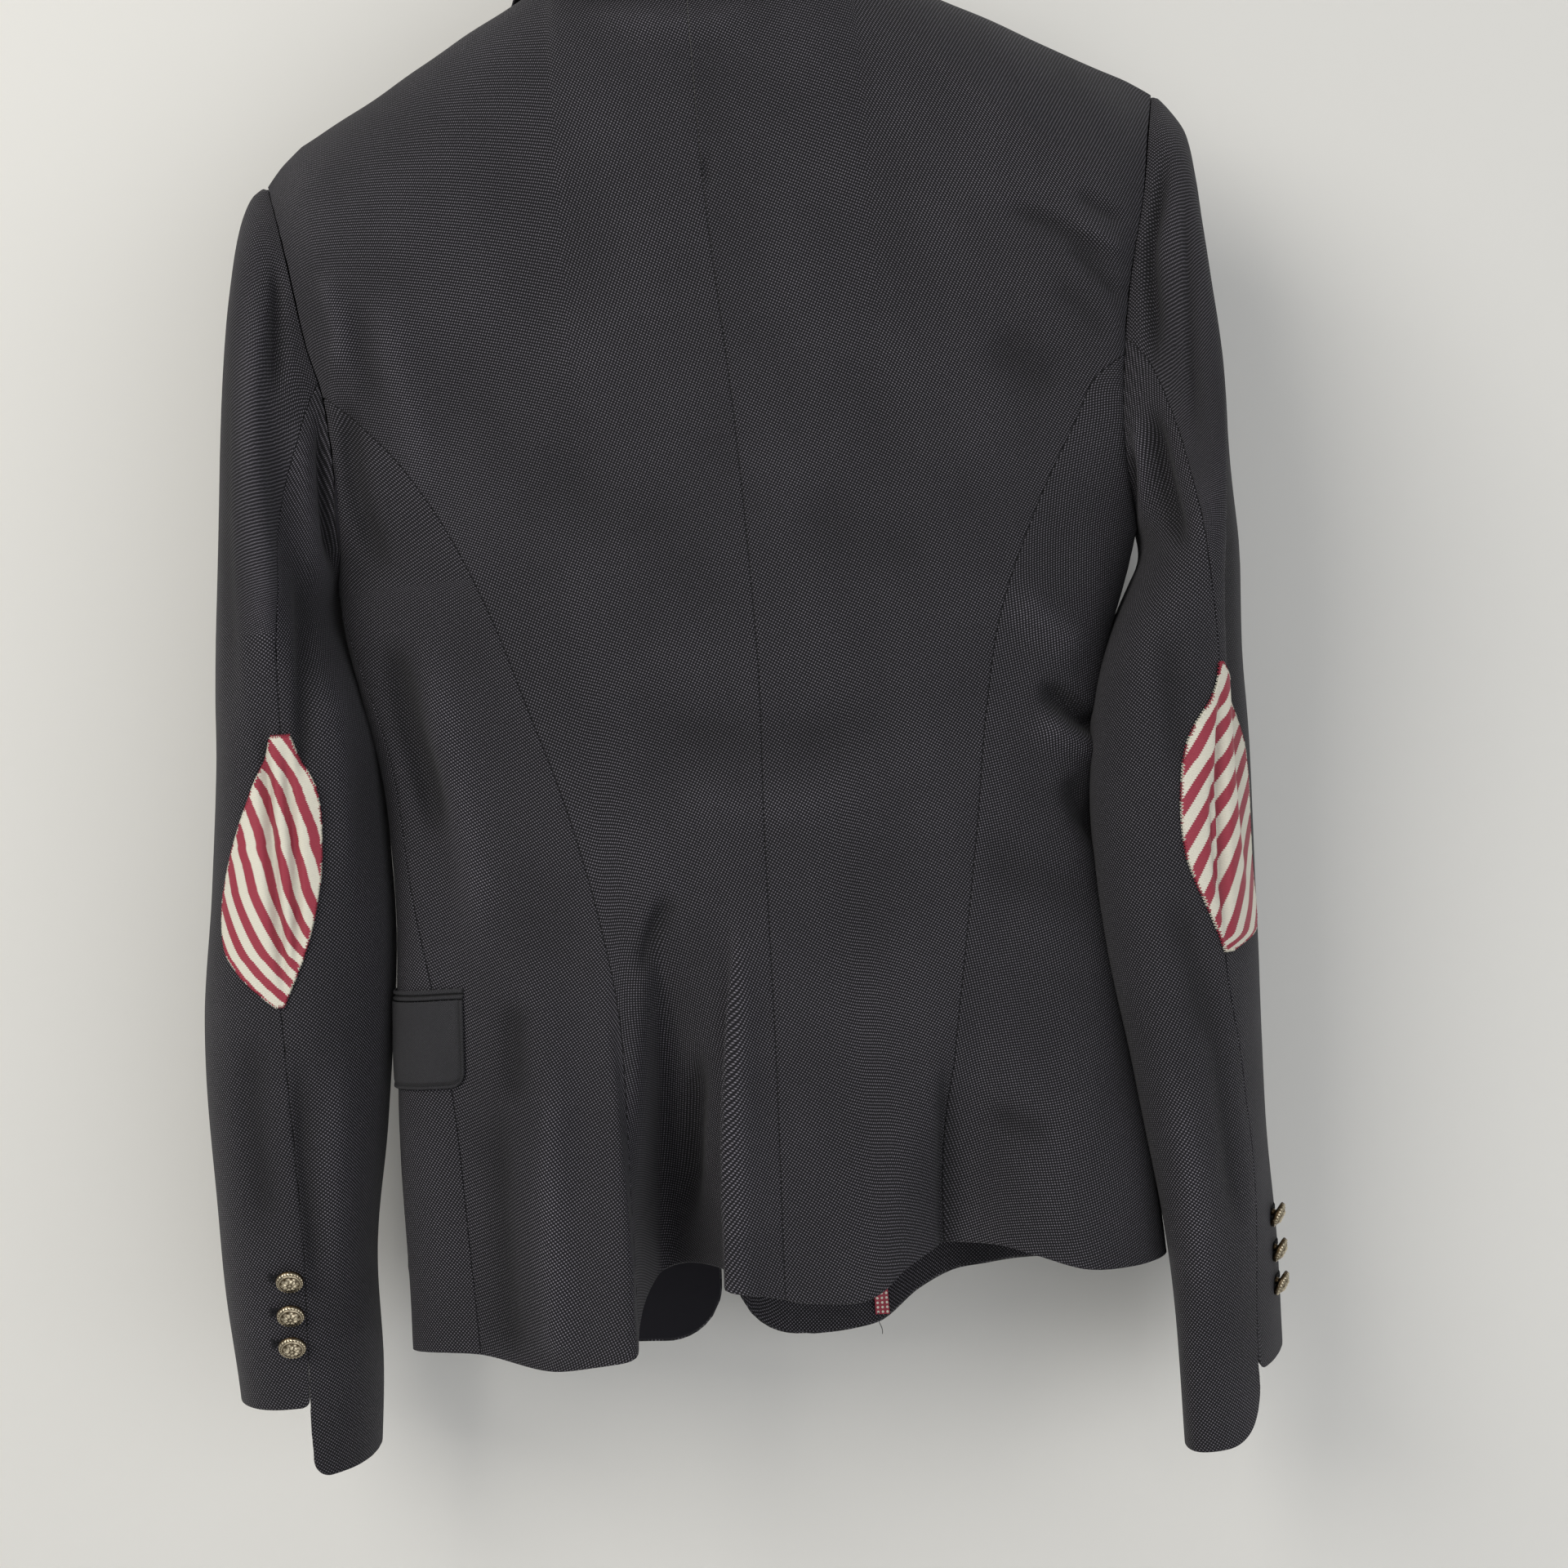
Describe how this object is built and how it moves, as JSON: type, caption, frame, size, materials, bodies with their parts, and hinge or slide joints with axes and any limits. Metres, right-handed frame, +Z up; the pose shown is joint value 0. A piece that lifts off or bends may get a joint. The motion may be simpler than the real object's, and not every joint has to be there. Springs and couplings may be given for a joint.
{
  "type": "blazer on a hanger",
  "caption": "Women's navy knit blazer on a plain hanger, with striped elbow patches, princess seams, flap pockets and metal buttons.",
  "frame": {"origin": "the point inside the top of the hanger's hook, where the part is held", "axes": "+Z up, +X towards the wearer's right sleeve, -Y the side of the jacket's back, which the picture shows"},
  "size_m": [0.5177, 0.1395, 0.7884],
  "materials": {
    "navy_cloth": "fine textured knit, matt",
    "navy_facing": "smooth fine twill, matt",
    "striped_twill": "crimson and cream diagonal stripes on twill",
    "dotted_ribbon": "red ribbon with pale dots",
    "gilt": "antique pale gilt, polished on the raised parts",
    "hanger_wood": "clear varnish",
    "hook_steel": "plated wire"
  },
  "bodies": {
    "root": {"back_left": "navy_cloth", "back_right": "navy_cloth", "side_back_left": "navy_cloth", "side_back_right": "navy_cloth", "front_left": "navy_cloth", "front_right": "navy_cloth", "lapel_left": "navy_cloth", "lapel_right": "navy_cloth", "collar": "navy_cloth", "upper_sleeve_left": "navy_cloth", "under_sleeve_left": "navy_cloth", "upper_sleeve_right": "navy_cloth", "under_sleeve_right": "navy_cloth", "elbow_patch_left": "striped_twill", "elbow_patch_right": "striped_twill", "pocket_flap_left": "navy_facing", "pocket_flap_right": "navy_facing", "pocket_welt_left": "navy_facing", "pocket_welt_right": "navy_facing", "cuff_button_left_1": "gilt", "cuff_button_left_2": "gilt", "cuff_button_left_3": "gilt", "cuff_button_right_1": "gilt", "cuff_button_right_2": "gilt", "cuff_button_right_3": "gilt", "front_button_1": "gilt", "front_button_2": "gilt", "hem_tab": "dotted_ribbon", "hanger_body": "hanger_wood", "hanger_hook": "hook_steel"}
  },
  "joints": []
}
